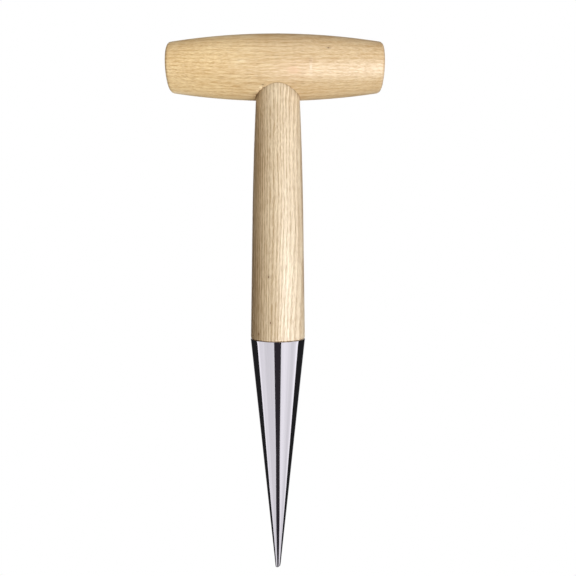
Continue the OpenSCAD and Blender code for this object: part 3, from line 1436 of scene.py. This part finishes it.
@dataclass(frozen=True)
class Panel:
    """A tall curved panel that only steel mirrors.

    It stands to one side of the tool, 1 for right and -1 for left, and spans two angles from the
    front, in degrees. Its glow is a place across that span, 0 to 1, and a level there. Low down, its
    two edges draw together by the pinch, which narrows the bright band on the steel's point.
    """

    name: str
    side: int
    near: float
    far: float
    glow: tuple[Point2, ...]
    reach: float = 0.9
    low: float = -1.6
    high: float = 1.3
    pinch_top: float = -0.5
    pinch_drop: float = 0.36
    pinch: float = 20.0
    steps: int = 48
    # How far the glow leans from green to blue
    violet: float = 0.015

    @classmethod
    def pair(cls, name: str, near: float, far: float, glow: tuple[Point2, ...]) -> "tuple[Panel, ...]":
        """A right and a left panel with the same glow and upright edges."""
        sides = (("right", 1), ("left", -1))
        return tuple(cls(f"{name}_{word}", side, near, far, glow, pinch=0.0) for word, side in sides)

    def _span(self, height: float) -> tuple[float, float]:
        """The angles of the near and the far edge at a height.

        Args:
            height: Height above the tool's lower end, in metres.

        Returns:
            The two angles, in radians.
        """
        share = min(1.0, max(0.0, (self.pinch_top - height) / self.pinch_drop))
        swing = self.pinch * share * share * (3.0 - 2.0 * share)
        return math.radians(self.near + swing), math.radians(self.far - swing)

    def build(self) -> bpy.types.Object:
        """Builds the panel as a grid, bent round the tool.

        Returns:
            The panel, without its material.
        """
        bm = bmesh.new()
        rows = []
        for rise in (i / self.steps for i in range(self.steps + 1)):
            height = self.low + (self.high - self.low) * rise
            near, far = self._span(height)
            angles = [near + (far - near) * i / self.steps for i in range(self.steps + 1)]
            rows.append([bm.verts.new((self.side * self.reach * math.sin(a),
                                       -self.reach * math.cos(a), height)) for a in angles])
        for first, second in zip(rows, rows[1:]):
            for a, b, c, d in zip(first, first[1:], second[1:], second):
                bm.faces.new((a, b, c, d))
        return close_mesh(bm, self.name)

    def material(self) -> bpy.types.Material:
        """A glow that changes with the direction from the tool.

        Returns:
            The panel's material.
        """
        made, g, light = new_material(self.name, "ShaderNodeEmission")
        near, far = math.radians(self.near), math.radians(self.far)
        where = g.node("ShaderNodeSeparateXYZ", {0: g.node("ShaderNodeTexCoord").outputs["Object"]})
        angle = g.math("ARCTAN2", g.math("ABSOLUTE", where.outputs["X"]),
                       g.math("MULTIPLY", where.outputs["Y"], -1.0))
        share = g.math("DIVIDE", g.math("SUBTRACT", angle, near), far - near)
        ramp = g.node("ShaderNodeValToRGB", {"Fac": share})
        while len(ramp.color_ramp.elements) < len(self.glow):
            ramp.color_ramp.elements.new(0.5)
        for element, (place, level) in zip(ramp.color_ramp.elements, self.glow):
            element.position = place
            element.color = (level, level * (1.0 - self.violet), level * (1.0 + self.violet), 1.0)
        g.feed(light.inputs["Color"], ramp.outputs["Color"])
        return made


@dataclass(frozen=True)
class Lamp:
    """A soft lamp that faces the tool, placed by its angle to the right of the front and its rise.

    Its height is its width where left out. A lamp that gleams only shows in the lacquer, and any
    other only lights the wood under it.
    """

    name: str
    azimuth: float
    rise: float
    power: float
    width: float = 0.8
    height: float | None = None
    tint: Colour = WHITE
    reach: float = 1.7
    gleam: bool = False

    def place(self, target: Vector) -> Vector:
        """Where the lamp stands.

        Args:
            target: The point that the lamp faces.

        Returns:
            The lamp's place.
        """
        turn_by, rise = math.radians(self.azimuth), math.radians(self.rise)
        way = Vector((math.sin(turn_by) * math.cos(rise), -math.cos(turn_by) * math.cos(rise),
                      math.sin(rise)))
        return target + way * self.reach


@dataclass
class Studio:
    """A white sweep, soft light from the right for the wood and tall panels for the steel."""

    wood: list[bpy.types.Object]
    steel: list[bpy.types.Object]
    camera_place: tuple[float, float, float] = (0.0056, -0.2725, 0.1633)
    camera_pitch: float = math.radians(-0.88)
    camera_yaw: float = math.radians(0.06)
    lens: float = 32.33
    sensor: float = 36.0
    shift_y: float = -0.036
    sight: tuple[float, float] = (0.01, 50.0)
    # Share of the tool's height that the lamps face
    aim: float = 0.61
    floor_reach: float = 4.0
    floor_gap: float = 0.5 * MM
    ambient: Colour = (0.05, 0.035, 0.03, 1.0)
    bounce: Colour = (0.45, 0.41, 0.33, 1.0)
    dark: Colour = (0.029, 0.0255, 0.030, 1.0)
    lamps: tuple[Lamp, ...] = (
        Lamp("key_right", 34.0, 0.0, 8.4, 1.1),
        Lamp("high_front", 12.0, 52.0, 17.0),
        Lamp("low_right", 28.0, -42.0, 21.0),
        Lamp("side_right", 130.0, 5.0, 9.0),
        Lamp("side_left", -142.0, 5.0, 11.0, tint=(1.0, 0.96, 0.90, 1.0)),
        Lamp("back", 180.0, 12.0, 11.0),
        Lamp("gleam_front", 30.0, -22.0, 45.0, 1.35, 1.8, gleam=True),
        Lamp("gleam_side", 80.0, -12.0, 43.0, 1.5, 1.9, gleam=True),
        Lamp("gleam_low", 42.0, -11.0, 12.0, 0.5, 0.9, gleam=True),
        Lamp("rim_left", -152.0, 0.0, 11.0, 1.2, 2.5, gleam=True),
        Lamp("rim_right", 152.0, 0.0, 8.0, 1.2, 2.5, gleam=True),
    )
    panels: tuple[Panel, ...] = (
        Panel("panel_right", 1, 15.0, 97.0,
              ((0.0, 0.86), (0.1, 0.98), (0.25, 0.98), (0.435, 0.88), (0.66, 0.76), (0.8, 0.84),
               (0.95, 1.15))),
        Panel("panel_left", -1, 15.0, 97.0,
              ((0.0, 0.86), (0.08, 0.77), (0.5, 0.77), (0.62, 0.88), (0.84, 0.84), (0.95, 1.1))),
        *Panel.pair("strip", 98.0, 158.0, ((0.0, 0.016), (1.0, 0.016))),
        *Panel.pair("back", 161.0, 173.0, ((0.0, 0.45), (1.0, 0.7))),
    )

    @staticmethod
    def _group(name: str, pieces: Sequence[bpy.types.Object]) -> bpy.types.Collection:
        """Collects the pieces that a light is meant for.

        Args:
            name: Name of the collection.
            pieces: The pieces to collect.

        Returns:
            The collection.
        """
        group = bpy.data.collections.new(name)
        for piece in pieces:
            group.objects.link(piece)
        return group

    def _world(self) -> None:
        """White to the camera, a soft grey to matt surfaces and dark to mirrors."""
        world = bpy.data.worlds.new("white_sweep")
        g = Graph.fresh(world)
        path = g.node("ShaderNodeLightPath").outputs
        seen = g.blend(path["Is Glossy Ray"], self.ambient, self.dark)
        seen = g.blend(path["Is Camera Ray"], seen, WHITE)
        background = g.node("ShaderNodeBackground", {"Color": seen})
        g.node("ShaderNodeOutputWorld", {"Surface": background.outputs[0]})
        bpy.context.scene.world = world

    def _floor(self) -> None:
        """A pale floor just under the nose, too bright to show an edge, that throws light up."""
        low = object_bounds()[0].z - self.floor_gap
        bm = bmesh.new()
        bmesh.ops.create_circle(bm, cap_ends=True, segments=64, radius=self.floor_reach,
                                matrix=Matrix.Translation((0.0, 0.0, low)))
        floor = close_mesh(bm, "pale_floor")
        material, g, light = new_material("pale_floor", "ShaderNodeEmission")
        seen = g.node("ShaderNodeLightPath").outputs["Is Camera Ray"]
        g.feed(light.inputs["Color"], g.blend(seen, self.bounce, WHITE))
        floor.data.materials.append(material)
        floor.visible_glossy = False
        floor.visible_shadow = False
        floor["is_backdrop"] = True

    def _hang(self, panel: Panel, receivers: bpy.types.Collection) -> None:
        """Puts up a panel that only the given pieces mirror.

        Args:
            panel: The panel to put up.
            receivers: The pieces that mirror it.
        """
        sheet = panel.build()
        sheet.data.materials.append(panel.material())
        sheet.visible_camera = False
        sheet.visible_diffuse = False
        sheet.visible_shadow = False
        sheet.light_linking.receiver_collection = receivers
        sheet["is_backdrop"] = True

    def _light(self, lamp: Lamp, receivers: bpy.types.Collection) -> None:
        """Puts up a lamp that only the given pieces receive.

        Args:
            lamp: The lamp to put up.
            receivers: The pieces that it lights.
        """
        data = bpy.data.lights.new(lamp.name, "AREA")
        data.shape, data.energy, data.color = "RECTANGLE", lamp.power, lamp.tint[:3]
        data.size, data.size_y = lamp.width, lamp.height or lamp.width
        made = bpy.data.objects.new(lamp.name, data)
        low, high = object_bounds()
        target = Vector((0.0, 0.0, low.z + (high.z - low.z) * self.aim))
        made.location = lamp.place(target)
        made.rotation_mode = "QUATERNION"
        made.rotation_quaternion = (target - made.location).to_track_quat("-Z", "Y")
        made.visible_camera = False
        made.visible_diffuse = not lamp.gleam
        made.visible_glossy = lamp.gleam
        made.light_linking.receiver_collection = receivers
        bpy.context.scene.collection.objects.link(made)

    def _camera(self) -> None:
        """The camera: close by, level with the upper stem, looking square at the crossbar."""
        data = bpy.data.cameras.new("studio_camera")
        data.lens, data.sensor_width, data.shift_y = self.lens, self.sensor, self.shift_y
        data.clip_start, data.clip_end = self.sight
        camera = bpy.data.objects.new("studio_camera", data)
        camera.location = self.camera_place
        camera.rotation_euler = (math.pi / 2 + self.camera_pitch, 0.0, self.camera_yaw)
        bpy.context.scene.collection.objects.link(camera)
        bpy.context.scene.camera = camera

    def build(self) -> None:
        """Sets up the whole studio."""
        self._world()
        self._floor()
        steel, wood = self._group("lit_steel", self.steel), self._group("lit_wood", self.wood)
        for panel in self.panels:
            self._hang(panel, steel)
        for lamp in self.lamps:
            self._light(lamp, wood)
        self._camera()
        bpy.context.scene.view_settings.view_transform = "Standard"
        LOG.info("studio: floor, %d panels, %d lamps and the camera", len(self.panels), len(self.lamps))


# ---------------------------------------------------------------------------------------------
# Finishes
# ---------------------------------------------------------------------------------------------

BAR_WOOD = WoodFinish(
    name="lacquered_ash_crossbar",
    grain=Grain.ALONG_BAR,
    pale=paint(246, 222, 176),
    deep=paint(206, 166, 108),
    pore=paint(156, 110, 62),
    fleck=paint(252, 234, 200),
    pith=(0.0, 14.0, 206.0),
    marks=(
        Mark((25.3, -14.9, 268.0), 0.4),
        Mark((8.0, -15.0, 257.0), 2.6, paint(222, 176, 138), 0.45, (0.55, 1.0, 1.0)),
        Mark((16.4, -15.9, 261.2), 0.75, paint(170, 124, 76), 0.65),
        # Painted highlight: a narrow upright pale streak, a glint of the lamps' sheen on the lacquer
        Mark((16.7, -15.4, 258.0), 0.62, paint(250, 240, 222), 0.5, (1.3, 0.6, 0.27)),
        Mark((-17.6, -16.0, 261.2), 0.7, paint(252, 238, 206), 0.7, (0.24, 0.8, 1.5)),
        Mark((-8.5, -9.7, 250.2), 0.75, paint(252, 232, 196), 0.85, (0.5, 1.0, 1.0)),
        Mark((-10.5, -7.8, 249.0), 0.65, paint(250, 226, 186), 0.8, (0.6, 1.0, 1.0)),
        Mark((-7.3, -10.9, 251.1), 0.4, strength=0.7, shape=(0.5, 1.0, 1.0)),
        # Painted shadow: a dark brown spot on the crossbar's belly just left of the stem, where the
        # stem shades it
        Mark((-10.5, -5.2, 247.8), 1.1, paint(112, 72, 38), 0.85, (0.8, 1.0, 1.0)),
    ),
    joints=(
        Joint(11.7, 0.42, 230.0, 262.0, 0.75),
        Joint(4.05, 0.22, 270.0, 290.0, 0.6),
    ),
    # Painted shade: the crossbar's right part darkened and greyed, to hold back the stronger light from
    # the lamps on the right
    painted_side_shade=PaintedSideShade((1.0, 0.0, 0.0), -42.0, 10.0, (0.84, 0.83, 0.87, 1.0)),
)
STEM_WOOD = WoodFinish(
    name="lacquered_ash_stem",
    grain=Grain.ALONG_STEM,
    pale=paint(232, 215, 186),
    deep=paint(180, 152, 115),
    pore=paint(146, 108, 70),
    fleck=paint(252, 238, 214),
    pith=(0.0, -62.0, 6.0),
    ring_pitch=1.55,
    figure=1.2,
    rings=0.42,
    # Painted shade: the stem's left side darkened to warm brown, where it turns away from the lamps
    painted_side_shade=PaintedSideShade((-1.0, 0.0, 0.0), 2.5, 12.0, (0.84, 0.76, 0.65, 1.0)),
    straightness=1.1,
    fineness=1.6,
    marks=(
        Mark((-4.4, -13.05, 154.4), 0.42),
        Mark((-3.4, -13.65, 131.4), 0.44),
        Mark((-9.6, -10.45, 125.3), 0.62, paint(128, 86, 48), 0.8),
    ),
)
PLUG_WOOD = WoodFinish(
    name="lacquered_ash_plug",
    grain=Grain.ALONG_BAR,
    pale=paint(238, 208, 158),
    deep=paint(196, 148, 90),
    pore=paint(140, 94, 52),
    fleck=paint(248, 228, 192),
    pith=(0.0, -14.0, 240.0),
)
POLISHED_STEEL = SteelFinish("polished_steel", paint(233, 231, 236), paint(226, 223, 230), 0.035, 0.035)
ZINC_PLATE = SteelFinish("yellow_zinc", paint(214, 190, 120), paint(196, 168, 98), 0.22, 0.12)
PLAIN_STEEL = SteelFinish("plain_steel", paint(196, 196, 200), paint(176, 176, 182), 0.2, 0.1)


def main() -> None:
    """Builds the tool piece by piece, then the studio round it."""
    logging.basicConfig(level=logging.INFO, format="%(name)s: %(message)s")
    layout = Layout.measure(frame["record"])
    effects = Effects()
    fasteners = Fasteners(layout, PLUG_WOOD, ZINC_PLATE, PLAIN_STEEL)
    wood = Crossbar(layout, BAR_WOOD).dress(effects)
    wood += Stem(layout, STEM_WOOD).dress(effects)
    wood += fasteners.dress_plug(effects)
    steel = SteelPoint(layout, POLISHED_STEEL).dress(effects)
    steel += fasteners.dress_metal(effects)
    Studio(wood, steel).build()


if __name__ == "__main__":
    main()
